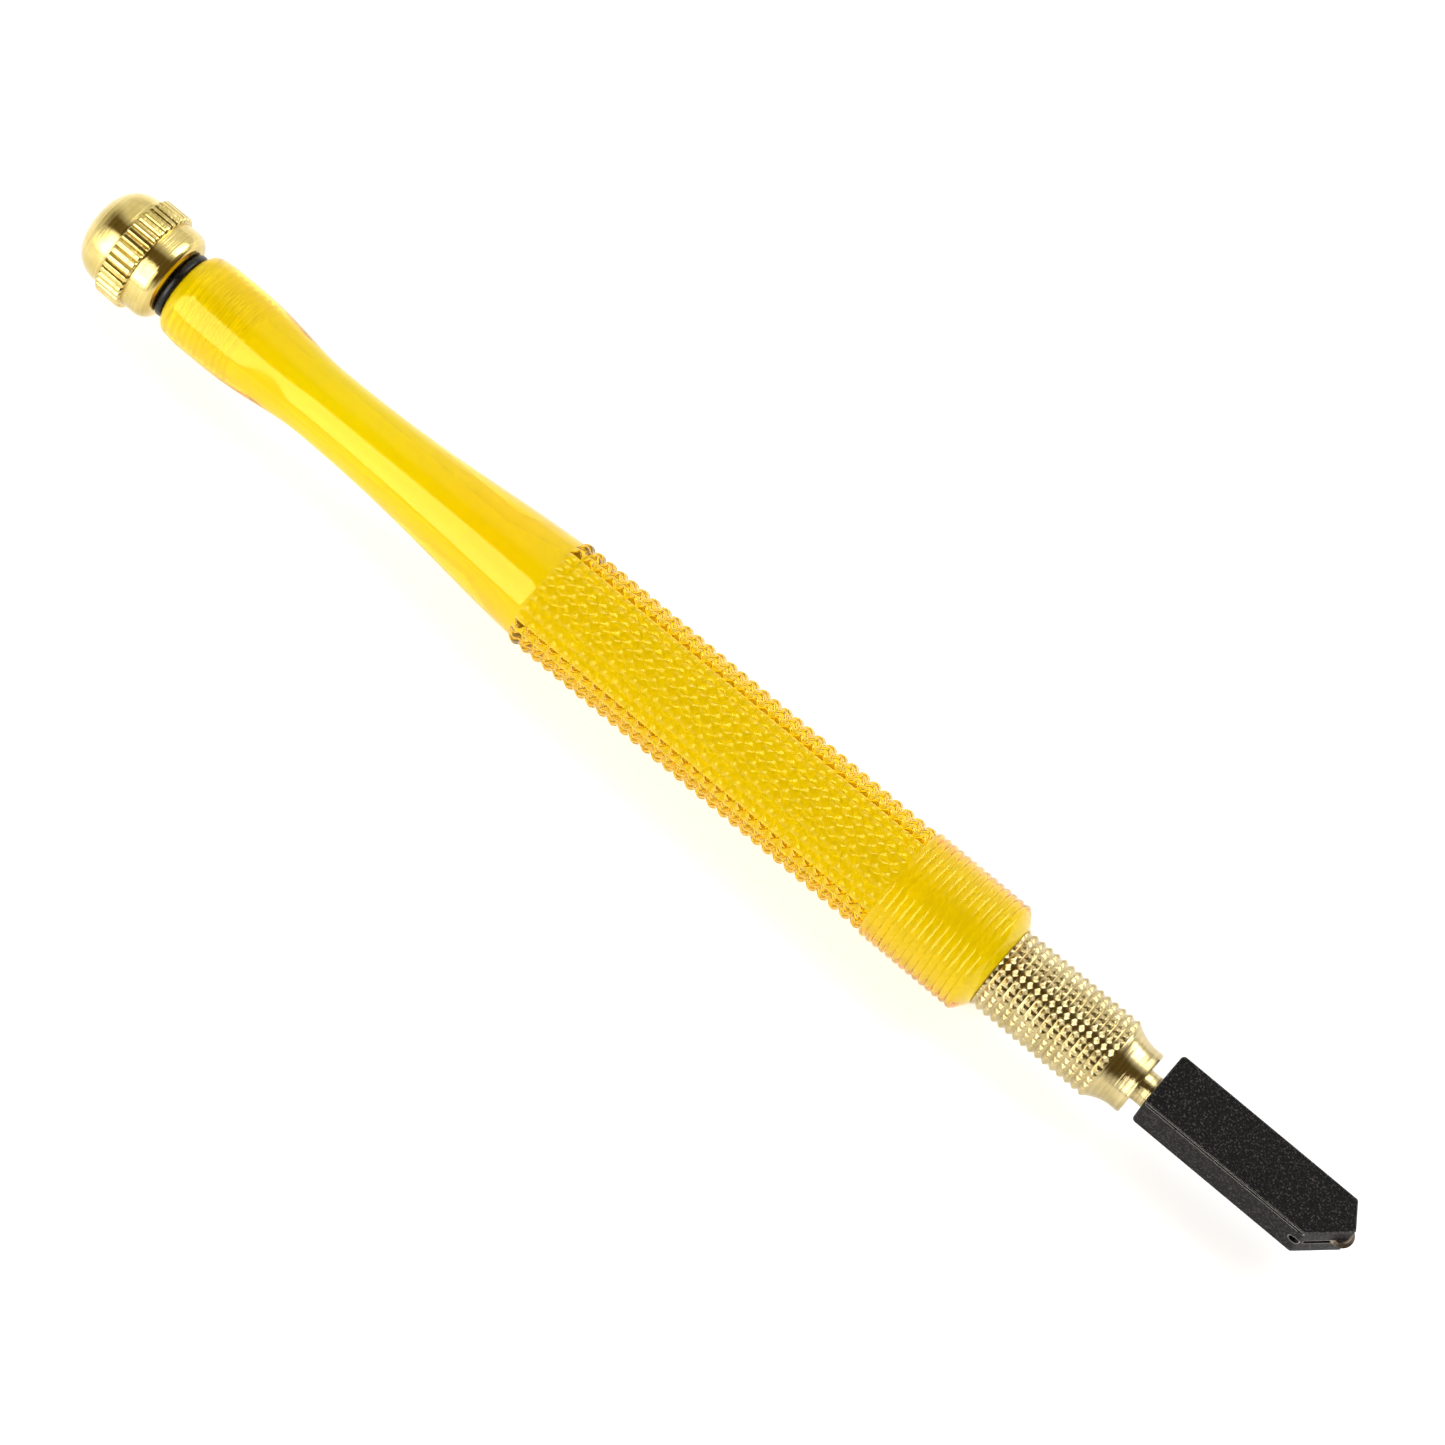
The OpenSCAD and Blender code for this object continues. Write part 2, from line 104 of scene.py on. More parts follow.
BEAD_ROWS, BEAD_COLUMNS, BEAD_PITCH = 32, 27, 1.547
BEAD_R, BEAD_DEPTH = 6.8, 0.5
RIB_ROWS, RIB_PITCH, RIB_R, RIB_DEPTH = 14, 0.912, 7.0, 0.24
LAND_X = BARREL_END_X - 1.2
RIB_X = LAND_X - RIB_ROWS * RIB_PITCH
BEAD_X = RIB_X - BEAD_ROWS * BEAD_PITCH
BULGE_X, BULGE_R = BARREL_X + 5.6, 5.38
WAIST_X, WAIST_R = BARREL_X + 19.7, 4.24
SHOULDER_R = 6.35
FILL_BORE_R, NECK_R, RESERVOIR_R = 3.08, 3.0, 4.2
SPIGOT_BORE_R = 4.48
FILL_END_X = BARREL_X + 10.4
THREAD_PITCH, THREAD_DEPTH, THREAD_FADE = 0.8, 0.25, 0.5
FILL_THREAD_INSET = 0.6

CAP_FRONT_X = BARREL_X - 1.1
CAP_R, BAND_R = 5.62, 6.25
BAND_X, BAND_LEN, BAND_CHAMFER = CAP_X + 4.65, 3.4, 0.35
FLUTES, FLUTE_DEPTH = 40, 0.3
STUD_R, STUD_CHAMFER = 3.0, 0.5
STUD_X, STUD_THREAD_X, STUD_THREAD_END_X = CAP_FRONT_X + 2.0, CAP_FRONT_X + 2.1, CAP_END_X - 0.4

KNURL_LEN, KNURL_PITCH, KNURL_COLUMNS, KNURL_DEPTH = 15.7, 1.009, 33, 0.27
KNURL_END_X = BARREL_END_X + KNURL_LEN
COLLAR_R, NOSE_R = 5.05, 3.9
CONE_LEN = 2.8
SPIGOT_R, SPIGOT_PITCH = 4.4, 1.0
SPIGOT_THREAD_X, SPIGOT_THREAD_END_X = SPIGOT_X + 0.9, SPIGOT_X + 8.1
CHAMBER_R, GUIDE_R, BUSH_R = 3.2, 2.8, 3.0
SEAT_X = BARREL_END_X + 2.9
BUSH_X = SEAT_X + 7.1

HEAD_LOW_Y, HEAD_HIGH_Y = -2.6, 4.5
HEAD_T, HEAD_RIM = 5.8, 0.14
TIP_Y, TIP_FLAT = 1.4, 0.3
LOW_BEVEL_X, HIGH_BEVEL_X = TIP_X - 4.0, TIP_X - 1.9
HEAD_CORNER_R = (0.5, 0.5, 0.12, 0.12, 0.45, 0.5)  # from the lower shank corner, round by the tip
SLOT_X, SLOT_T = LOW_BEVEL_X + 0.5, 0.86
PORT_X, PORT_R, PORT_DEEP, PORT_TILT = LOW_BEVEL_X - 0.45, 0.65, 1.8, math.radians(22.5)
AXLE_X, AXLE_HOLE_R, AXLE_LEN = TIP_X - 0.9, 0.42, 4.95
SHANK_R, SHANK_IN = 1.96, 6.1
SCREW_X, SCREW_R = HEAD_X + 3, 1.02
SEAM_Z, SEAM_W, SEAM_DEEP = HEAD_T / 2 - 0.42, 0.42, 0.5


# ---------------------------------------------------------------- mesh helpers

def new_object(name, data):
    """An object of a mesh, light or camera, linked into the scene."""
    made = bpy.data.objects.new(name, data)
    bpy.context.scene.collection.objects.link(made)
    return made


def dome(u):
    """Height, 0 to 1, of a rounded ridge across u from -1 to 1, with sharp valleys at the ends."""
    flat = 0.86
    edge = math.sqrt(1 - flat * flat)
    return (np.sqrt(1 - (flat * u) ** 2) - edge) / (1 - edge)


def ridge(u, land=0.14):
    """Height, 0 to 1, of a straight-sided ridge across u, with a flat land at crest and valley."""
    return np.clip((1 - land - np.abs(u)) / (1 - 2 * land), 0, 1)


def tooth(u):
    """Height, 0 to 1, of a knurl's tooth across u, with a blunt top and a rounded valley."""
    return np.interp(np.abs(u), (0, 0.14, 0.84, 0.93, 1), (1, 1, 0.16, 0.02, 0))


def within(value, start, pitch):
    """Place of value inside its repeat, from -1 to 1."""
    return 2 * np.mod((value - start) / pitch, 1.0) - 1


def arc(x, r, radius, start, end, steps=10):
    """Profile points of a round about (x, r), with angles in degrees from +x."""
    angles = np.radians(np.linspace(start, end, steps + 1))
    return [(x + radius * math.cos(a), r + radius * math.sin(a)) for a in angles]


def line(x0, r0, x1, r1, steps):
    """Profile points from one end up to the other, without the last."""
    return [(x0 + (x1 - x0) * i / steps, r0 + (r1 - r0) * i / steps) for i in range(steps)]


def repeats(x, r, count, pitch, places):
    """Profile points at the same places, from -1 to 1, of each of a row of repeats."""
    return [(x + (i + (u + 1) / 2) * pitch, r) for i in range(count) for u in places]


def grid_faces(rows, around, heights, closed):
    """Faces of a turned grid. Each quad is cut along the diagonal that its relief climbs."""
    faces = []
    for i in range(rows if closed else rows - 1):
        j = (i + 1) % rows
        for k in range(around):
            n = (k + 1) % around
            a, b, c, d = i * around + k, i * around + n, j * around + n, j * around + k
            climb_ac = abs(heights[i, k] - heights[j, n])
            climb_bd = abs(heights[i, n] - heights[j, k])
            if climb_ac == climb_bd:
                faces.append((a, b, c, d))
            elif climb_ac > climb_bd:
                faces += [(a, b, c), (a, c, d)]
            else:
                faces += [(a, b, d), (b, c, d)]
    return faces


def lathe(name, outside, inside=(), around=96, relief=None, sharp_deg=38):
    """Turns (x, r) points about X. With inside points the piece is a tube, else a solid.

    relief(x, r, angle) gives a height to add to each point's radius, over arrays of rows by
    columns. around is how many points go round, or a list of their places as parts of a turn.
    The attribute "bore" is 1 inside and 0 outside.
    """
    on_axis, pole_merge, sliver = 1e-9, 1e-6, 1e-9  # metres
    rows = np.array(list(outside) + list(inside), float)
    turns = np.arange(around) / around if np.isscalar(around) else np.asarray(around)
    count = len(turns)
    x = np.repeat(rows[:, :1], count, 1)
    r = np.repeat(rows[:, 1:], count, 1)
    angle = np.repeat(turns[None, :] * 2 * math.pi, len(rows), 0)
    height = np.zeros_like(r) if relief is None else relief(x, r, angle)
    r = r + height
    vertices = np.stack([x, r * np.cos(angle), r * np.sin(angle)], -1).reshape(-1, 3) * MM
    mesh = bpy.data.meshes.new(name)
    mesh.from_pydata(vertices.tolist(), [], grid_faces(len(rows), count, height, bool(inside)))
    bore = mesh.attributes.new("bore", "FLOAT", "POINT")
    bore.data.foreach_set("value", np.repeat(np.arange(len(rows)) >= len(outside), count).astype(float))
    made = bmesh.new()
    made.from_mesh(mesh)
    poles = [v for v in made.verts if math.hypot(v.co.y, v.co.z) < on_axis]
    bmesh.ops.remove_doubles(made, verts=poles, dist=pole_merge)
    bmesh.ops.dissolve_degenerate(made, edges=made.edges, dist=sliver)
    if made.calc_volume(signed=True) < 0:
        bmesh.ops.reverse_faces(made, faces=made.faces)
    made.to_mesh(mesh)
    made.free()
    mesh.shade_smooth()
    mesh.set_sharp_from_angle(angle=math.radians(sharp_deg))
    return new_object(name, mesh)


# ---------------------------------------------------------------- materials

def material(name):
    """A new node material: (material, nodes, links, its Principled shader)."""
    made = bpy.data.materials.new(name)
    made.use_nodes = True
    tree = made.node_tree
    return made, tree.nodes, tree.links, tree.nodes["Principled BSDF"]


def feed(links, socket, value):
    """Links another node's output to the socket, or sets the socket to a plain value."""
    if isinstance(value, bpy.types.NodeSocket):
        links.new(value, socket)
    else:
        socket.default_value = value


def maths(nodes, links, operation, *values):
    """A math node over outputs and plain numbers."""
    made = nodes.new("ShaderNodeMath")
    made.operation = operation
    for socket, value in zip(made.inputs, values):
        feed(links, socket, value)
    return made.outputs["Value"]


def blend_colours(nodes, links, factor, first, second):
    """Colour that goes from first to second as the factor goes from 0 to 1."""
    made = nodes.new("ShaderNodeMix")
    made.data_type = "RGBA"
    for key, value in (("Factor", factor), ("A", first), ("B", second)):
        feed(links, made.inputs[key], value)
    return made.outputs["Result"]


def object_noise(nodes, links, scale, stretch=(1, 1, 1), detail=3, roughness=0.55):
    """Noise over the piece's own coordinates, with scale in cycles per metre."""
    place = nodes.new("ShaderNodeTexCoord")
    spread = nodes.new("ShaderNodeMapping")
    spread.inputs["Scale"].default_value = stretch
    noise = nodes.new("ShaderNodeTexNoise")
    noise.inputs["Scale"].default_value = scale
    noise.inputs["Detail"].default_value = detail
    noise.inputs["Roughness"].default_value = roughness
    links.new(place.outputs["Object"], spread.inputs["Vector"])
    links.new(spread.outputs["Vector"], noise.inputs["Vector"])
    return noise.outputs["Fac"]


def ramp(nodes, links, value, stops):
    """A colour ramp over value. Stops are (place, colour), at most three of them."""
    made = nodes.new("ShaderNodeValToRGB")
    while len(made.color_ramp.elements) < len(stops):
        made.color_ramp.elements.new(0.5)
    for element, (place, colour) in zip(made.color_ramp.elements, stops):
        element.position = place
        element.color = (*colour, 1)
    links.new(value, made.inputs["Fac"])
    return made.outputs["Color"]


def grey(value):
    """A neutral colour."""
    return (value, value, value)


def bump(nodes, links, shader, height, distance, strength=1.0):
    """Bumps the shader's normal by height times distance, in metres."""
    made = nodes.new("ShaderNodeBump")
    made.inputs["Strength"].default_value = strength
    made.inputs["Distance"].default_value = distance
    links.new(height, made.inputs["Height"])
    links.new(made.outputs["Normal"], shader.inputs["Normal"])


def turning_lines(nodes, links, scale):
    """Fine tool marks of a lathe: noise that changes only with x and with radius."""
    radius_share = 0.5
    place = nodes.new("ShaderNodeTexCoord")
    split = nodes.new("ShaderNodeSeparateXYZ")
    links.new(place.outputs["Object"], split.inputs["Vector"])
    x, y, z = split.outputs
    y_squared, z_squared = (maths(nodes, links, "MULTIPLY", v, v) for v in (y, z))
    radius = maths(nodes, links, "SQRT", maths(nodes, links, "ADD", y_squared, z_squared))
    along_profile = maths(nodes, links, "MULTIPLY_ADD", radius, radius_share, x)
    noise = nodes.new("ShaderNodeTexNoise")
    noise.noise_dimensions = "1D"
    noise.inputs["Scale"].default_value = scale
    noise.inputs["Detail"].default_value = 4
    noise.inputs["Roughness"].default_value = 0.7
    links.new(along_profile, noise.inputs["W"])
    return noise.outputs["Fac"]


def turned_metal(name, dark, light, rough, marks=2600, depth=0.00006):
    """Turned metal with tool marks of a depth in metres, and a faint tarnish."""
    made, nodes, links, shader = material(name)
    shader.inputs["Metallic"].default_value = 1.0
    lines = turning_lines(nodes, links, marks)
    tone = nodes.new("ShaderNodeMix")
    links.new(lines, tone.inputs["A"])
    links.new(object_noise(nodes, links, 420, detail=5), tone.inputs["B"])
    links.new(ramp(nodes, links, tone.outputs["Result"], [(0.38, dark), (0.62, light)]),
        shader.inputs["Base Color"])
    links.new(ramp(nodes, links, lines, [(0.3, grey(rough * 0.7)), (0.75, grey(rough * 1.5))]),
        shader.inputs["Roughness"])
    bump(nodes, links, shader, lines, depth)
    return made


def acrylic():
    """Dyed clear acrylic: polished outside, and left frosted and milky by the drill inside."""
    made, nodes, links, shader = material("yellow_acrylic_clear")
    shader.inputs["Base Color"].default_value = (1.0, 0.93, 0.005, 1)
    shader.inputs["IOR"].default_value = 1.49
    shader.inputs["Specular Tint"].default_value = (1.0, 0.85, 0.3, 1)
    bore = nodes.new("ShaderNodeAttribute")
    bore.attribute_name = "bore"
    clear = ramp(nodes, links, bore.outputs["Fac"], [(0, grey(0.95)), (1, grey(0.2))])
    links.new(clear, shader.inputs["Transmission Weight"])
    haze = object_noise(nodes, links, 900, detail=4)
    polish = ramp(nodes, links, haze, [(0.35, grey(0.05)), (0.75, grey(0.12))])
    frosted = (*grey(0.5), 1)
    links.new(blend_colours(nodes, links, bore.outputs["Fac"], polish, frosted),
        shader.inputs["Roughness"])
    bump(nodes, links, shader, object_noise(nodes, links, 1500, (0.4, 1, 1)), 0.00001, 0.25)
    absorb = nodes.new("ShaderNodeVolumeAbsorption")
    absorb.inputs["Color"].default_value = (0.999, 0.986, 0.0, 1)
    absorb.inputs["Density"].default_value = 3000
    links.new(absorb.outputs["Volume"], nodes["Material Output"].inputs["Volume"])
    return made


def black_oxide():
    """Black-finished steel: fine grain, speckle and bare metal along worn edges."""
    made, nodes, links, shader = material("black_oxide_steel")
    grain = object_noise(nodes, links, 4400, detail=4, roughness=0.75)
    dark = ramp(nodes, links, grain, [(0.45, (0.0004, 0.0003, 0.0003)), (0.55, (0.0022, 0.0016, 0.0015)),
        (0.66, (0.066, 0.057, 0.054))])
    bevel = nodes.new("ShaderNodeBevel")
    bevel.inputs["Radius"].default_value = 0.0002
    bevel.samples = 6
    true_normal = nodes.new("ShaderNodeNewGeometry")
    facing = nodes.new("ShaderNodeVectorMath")
    facing.operation = "DOT_PRODUCT"
    links.new(bevel.outputs["Normal"], facing.inputs[0])
    links.new(true_normal.outputs["Normal"], facing.inputs[1])
    edge = ramp(nodes, links, facing.outputs["Value"], [(0.90, grey(1)), (0.985, grey(0))])
    patchy = ramp(nodes, links, object_noise(nodes, links, 1500, detail=5),
        [(0.28, grey(0)), (0.44, grey(1))])
    worn = maths(nodes, links, "MULTIPLY", edge, patchy)
    bare_metal = (0.42, 0.40, 0.375, 1)
    links.new(blend_colours(nodes, links, worn, dark, bare_metal), shader.inputs["Base Color"])
    links.new(worn, shader.inputs["Metallic"])
    links.new(ramp(nodes, links, grain, [(0.35, grey(0.6)), (0.65, grey(0.42))]),
        shader.inputs["Roughness"])
    shader.inputs["Specular IOR Level"].default_value = 0.09
    bump(nodes, links, shader, grain, 0.00004, 0.7)
    return made


def rubber():
    """Soft black rubber with a trace of dust."""
    made, nodes, links, shader = material("black_rubber")
    dust = object_noise(nodes, links, 2400, detail=4)
    links.new(ramp(nodes, links, dust, [(0.35, grey(0.002)), (0.8, grey(0.008))]),
        shader.inputs["Base Color"])
    links.new(ramp(nodes, links, dust, [(0.3, grey(0.22)), (0.8, grey(0.4))]),
        shader.inputs["Roughness"])
    shader.inputs["Specular IOR Level"].default_value = 0.25
    bump(nodes, links, shader, dust, 0.00001, 0.3)
    return made


def carbide():
    """Ground tungsten carbide: fine marks, drawn out along the axle, and a brownish oil film."""
    made, nodes, links, shader = material("ground_carbide")
    shader.inputs["Metallic"].default_value = 1.0
    marks = object_noise(nodes, links, 7000, (1, 1, 0.15), detail=4)
    links.new(ramp(nodes, links, marks, [(0.3, (0.05, 0.04, 0.03)), (0.7, (0.16, 0.13, 0.10))]),
        shader.inputs["Base Color"])
    links.new(ramp(nodes, links, marks, [(0.3, grey(0.28)), (0.7, grey(0.5))]),
        shader.inputs["Roughness"])
    bump(nodes, links, shader, marks, 0.00001, 0.4)
    return made


def cotton():
    """Cotton threads that run along the wick, stained by oil."""
    made, nodes, links, shader = material("cotton_wick")
    threads = object_noise(nodes, links, 6000, (0.2, 1, 1), detail=5)
    links.new(ramp(nodes, links, threads, [(0.3, (0.42, 0.36, 0.22)), (0.7, (0.78, 0.72, 0.55))]),
        shader.inputs["Base Color"])
    shader.inputs["Roughness"].default_value = 0.9
    shader.inputs["Sheen Weight"].default_value = 0.3
    bump(nodes, links, shader, threads, 0.00008, 0.8)
    return made


BRASS = turned_metal("turned_brass", (0.41, 0.325, 0.142), (0.56, 0.46, 0.235), 0.14)
GILT = turned_metal("polished_brass", (0.50, 0.385, 0.11), (0.70, 0.56, 0.22), 0.12)
STEEL = turned_metal("bright_steel", (0.48, 0.48, 0.49), (0.66, 0.66, 0.67), 0.24)
BRONZE = turned_metal("bush_bronze", (0.45, 0.28, 0.14), (0.60, 0.40, 0.22), 0.28)
ACRYLIC = acrylic()
BLACK = black_oxide()
RUBBER = rubber()
CARBIDE = carbide()
COTTON = cotton()
SLOT_LOOKS = {"brass": BRASS, "steel": STEEL, "bronze": BRONZE, "yellow_acrylic": ACRYLIC,
    "black_steel": BLACK, "rubber": RUBBER, "carbide": CARBIDE, "cotton": COTTON}


def dress(piece, look):
    """Gives the piece one material."""
    piece.data.materials.clear()
    piece.data.materials.append(look)


def stand_in(piece, body, node, slot, look=None):
    """Puts a detailed piece in the place of its CAD node."""
    dress(piece, look or SLOT_LOOKS[slot])
    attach(piece, body)
    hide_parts(node)


# ---------------------------------------------------------------- barrel

def stem_radius(x):
    """Radius of the smooth stem: a swelling, the waist and the rise to the grip."""
    if x < WAIST_X:
        u = max(0.0, (x - BULGE_X) / (WAIST_X - BULGE_X)) ** 1.25
        return WAIST_R + (BULGE_R - WAIST_R) * (1 + math.cos(math.pi * u)) / 2
    u = (x - WAIST_X) / (BEAD_X - WAIST_X)
    rise = (1 - math.cos(math.pi * u ** 1.35)) / 4 + u ** 1.6 / 2
    return WAIST_R + (SHOULDER_R - WAIST_R) * rise


def screw_thread(x, turn, start, end, pitch):
    """Depth of a screw thread's groove between start and end, with faded ends."""
    place = within(x - turn / (2 * math.pi) * pitch, 0, pitch)
    fade = np.clip((x - start) / THREAD_FADE, 0, 1) * np.clip((end - x) / THREAD_FADE, 0, 1)
    return THREAD_DEPTH * (1 - ridge(place)) * fade


def barrel_relief(x, r, turn):
    """Beads and rings outside, a screw thread in the filling bore."""
    outside = r > SPIGOT_BORE_R + 0.5
    beads = BEAD_DEPTH * dome(within(x, BEAD_X, BEAD_PITCH))
    beads = beads * dome(within(turn, 0, 2 * math.pi / BEAD_COLUMNS))
    rings = RIB_DEPTH * dome(within(x, RIB_X, RIB_PITCH))
    in_beads = outside & (x > BEAD_X + TINY) & (x < RIB_X - TINY)
    in_rings = outside & (x > RIB_X + TINY) & (x < LAND_X - TINY)
    thread = screw_thread(x, turn, BARREL_X + FILL_THREAD_INSET, FILL_END_X - FILL_THREAD_INSET,
        THREAD_PITCH)
    relief = np.where(in_beads, beads, 0) + np.where(in_rings, rings, 0)
    return relief + np.where(outside | (x > FILL_END_X), 0, thread)


def barrel():
    """Hollow acrylic handle, open at both ends."""
    back_round, back_r = 1.6, 3.6
    bead_base, rib_base = BEAD_R - BEAD_DEPTH, RIB_R - RIB_DEPTH
    outside = arc(BARREL_X + back_round, back_r, back_round, 180, 100)
    outside += [(x, stem_radius(x)) for x in np.linspace(BULGE_X - 2.6, BEAD_X - 0.3, 90)]
    outside += line(BEAD_X, bead_base, RIB_X, bead_base, BEAD_ROWS * 8)
    outside += line(RIB_X, rib_base, LAND_X, rib_base, RIB_ROWS * 8)
    front_edge = [(LAND_X + 0.25, RIB_R - 0.45), (LAND_X + 0.6, RIB_R - 0.9),
        (BARREL_END_X - 0.1, 5.35), (BARREL_END_X, 5.2)]
    outside += [(LAND_X, rib_base)] + front_edge
    bore_x, reservoir_x = SPIGOT_X - 0.5, BEAD_X - 1.5
    inside = [(BARREL_END_X, SPIGOT_BORE_R), (bore_x, SPIGOT_BORE_R), (bore_x, RESERVOIR_R)]
    inside += line(bore_x - 0.2, RESERVOIR_R, reservoir_x, RESERVOIR_R, 12)
    inside += [(reservoir_x, RESERVOIR_R), (reservoir_x - 6, NECK_R)]
    inside += line(reservoir_x - 7, NECK_R, FILL_END_X + 0.4, NECK_R, 12)
    inside += line(FILL_END_X, FILL_BORE_R, BARREL_X + 0.2, FILL_BORE_R, 100)
    inside += [(BARREL_X, FILL_BORE_R + 0.15)]
    made = lathe("barrel_acrylic", outside, inside, BEAD_COLUMNS * 8, barrel_relief)
    stand_in(made, "handle", "barrel", "yellow_acrylic")


# ---------------------------------------------------------------- collar

KNURL_PLACES = (-1, -0.93, -0.84, -0.49, -0.14, 0.14, 0.49, 0.84, 0.93)
LENGTHWAYS_CUT = 0.75  # depth of the knurl's lengthways grooves, as a part of its ring grooves'


def collar_relief(x, r, turn):
    """Square pyramids of the knurl outside, a screw thread on the spigot."""
    u = within(x, KNURL_END_X, KNURL_PITCH)
    v = within(turn, 0, 2 * math.pi / KNURL_COLUMNS)
    pyramids = KNURL_DEPTH * np.minimum(tooth(u), 1 - LENGTHWAYS_CUT * (1 - tooth(v)))
    on_knurl = (r > NOSE_R + 0.5) & (x > BARREL_END_X + 0.03) & (x < KNURL_END_X - TINY)
    on_spigot = (r > CHAMBER_R + 0.5) & (x < BARREL_END_X - 1.8)
    thread = screw_thread(x, turn, SPIGOT_THREAD_X, SPIGOT_THREAD_END_X, SPIGOT_PITCH)
    return np.where(on_knurl, pyramids, 0) - np.where(on_spigot, thread, 0)


def collar():
    """Brass nose: a threaded spigot with an O-ring groove, the knurl and the front cone."""
    groove_x, groove_r = BARREL_END_X - 1.7, 3.68
    base = COLLAR_R - KNURL_DEPTH
    outside = [(SPIGOT_X, SPIGOT_R - 0.3), (SPIGOT_X + 0.3, SPIGOT_R)]
    outside += line(SPIGOT_THREAD_X, SPIGOT_R, SPIGOT_X + 8.2, SPIGOT_R, 60)
    outside += [(groove_x, SPIGOT_R), (groove_x, groove_r), (groove_x + 1, groove_r),
        (groove_x + 1, SPIGOT_R), (BARREL_END_X + 0.02, SPIGOT_R), (BARREL_END_X + 0.02, base)]
    rows = math.ceil(KNURL_LEN / KNURL_PITCH)
    places = repeats(KNURL_END_X - rows * KNURL_PITCH, base, rows, KNURL_PITCH, KNURL_PLACES)
    outside += [(x, r) for x, r in places if x > BARREL_END_X + 0.05]
    outside += [(KNURL_END_X + CONE_LEN * u, NOSE_R + (base - NOSE_R) * (1 - u) ** 2)
        for u in np.linspace(0, 1, 12)]
    outside += [(NOSE_X - 0.15, NOSE_R), (NOSE_X, NOSE_R - 0.15)]
    inside = [(NOSE_X, BUSH_R), (BUSH_X, BUSH_R), (BUSH_X, GUIDE_R), (SEAT_X, GUIDE_R),
        (SEAT_X, CHAMBER_R), (SPIGOT_X, CHAMBER_R)]
    turns = [(k + (v + 1) / 2) / KNURL_COLUMNS for k in range(KNURL_COLUMNS) for v in KNURL_PLACES]
    made = lathe("collar_knurled", outside, inside, turns, collar_relief, sharp_deg=28)
    stand_in(made, "handle", "collar", "brass")


# ---------------------------------------------------------------- filler cap

FLUTE_PLACES = (-1, -0.52, -0.44, -0.22, 0, 0.22, 0.44, 0.52)


def cap_relief(x, r, turn):
    """Straight flutes round the band, a screw thread on the stud."""
    v = np.abs(within(turn, 0, 2 * math.pi / FLUTES))
    flutes = -FLUTE_DEPTH * np.clip((v - 0.5) / 0.5, 0, 1)
    on_band = (r > CAP_R + 0.2) & (x > BAND_X) & (x < BAND_X + BAND_LEN)
    on_stud = (np.abs(r - STUD_R) < 0.1) & (x > STUD_X)
    thread = screw_thread(x, turn, STUD_THREAD_X, STUD_THREAD_END_X, THREAD_PITCH)
    return np.where(on_band, flutes, 0) - np.where(on_stud, thread, 0)


def fill_cap():
    """Brass filler cap: a dome, the fluted band, a bell and the threaded stud."""
    dome_len, dome_rise, dome_power, bell = 4.3, 5.0, 0.86, 1.6
    band_end_x = BAND_X + BAND_LEN
    profile = [(CAP_X, 0.0)]
    for a in np.linspace(0, math.pi / 2, 25):
        run, rise = abs(math.cos(a)) ** dome_power, abs(math.sin(a)) ** dome_power
        profile.append((CAP_X + dome_len * (1 - run), CAP_R - dome_rise * (1 - rise)))
    profile += [(BAND_X, CAP_R), (BAND_X, CAP_R + 0.22)]
    profile += arc(BAND_X + BAND_CHAMFER, BAND_R - BAND_CHAMFER, BAND_CHAMFER, 170, 90, 5)
    profile += arc(band_end_x - BAND_CHAMFER, BAND_R - BAND_CHAMFER, BAND_CHAMFER, 90, 10, 5)
    profile += [(band_end_x, CAP_R + 0.22), (band_end_x, CAP_R)]
    profile += arc(CAP_FRONT_X - bell, CAP_R - bell, bell, 90, 0, 14)
    profile += [(CAP_FRONT_X, STUD_R), (STUD_X, STUD_R)]
    profile += line(STUD_THREAD_X, STUD_R, CAP_END_X - STUD_CHAMFER, STUD_R, 60)
    profile += [(CAP_END_X - STUD_CHAMFER, STUD_R - THREAD_DEPTH), (CAP_END_X, STUD_R - STUD_CHAMFER),
        (CAP_END_X, 0.0)]
    turns = [(k + (v + 1) / 2) / FLUTES for k in range(FLUTES) for v in FLUTE_PLACES]
    made = lathe("cap_fluted", profile, around=turns, relief=cap_relief)
    stand_in(made, "cap", "fill_cap", "brass", GILT)


def cap_seal():
    """Rubber ring, squeezed slightly flat between cap and barrel."""
    mid_x, half = (RING_X + RING_END_X) / 2, (RING_END_X - RING_X) / 2
    in_r, out_r = STUD_R + 0.06, 4.12
    mid_r, rise = (in_r + out_r) / 2, (out_r - in_r) / 2
    profile = [(mid_x + half * math.copysign(abs(math.cos(a)) ** 0.8, math.cos(a)),
        mid_r + rise * math.sin(a)) for a in np.linspace(0, 2 * math.pi, 33)[:-1]]
    made = lathe("seal_ring", profile[:16], profile[16:])
    stand_in(made, "cap_seal", "cap_o_ring", "rubber")


# ---------------------------------------------------------------- valve spring

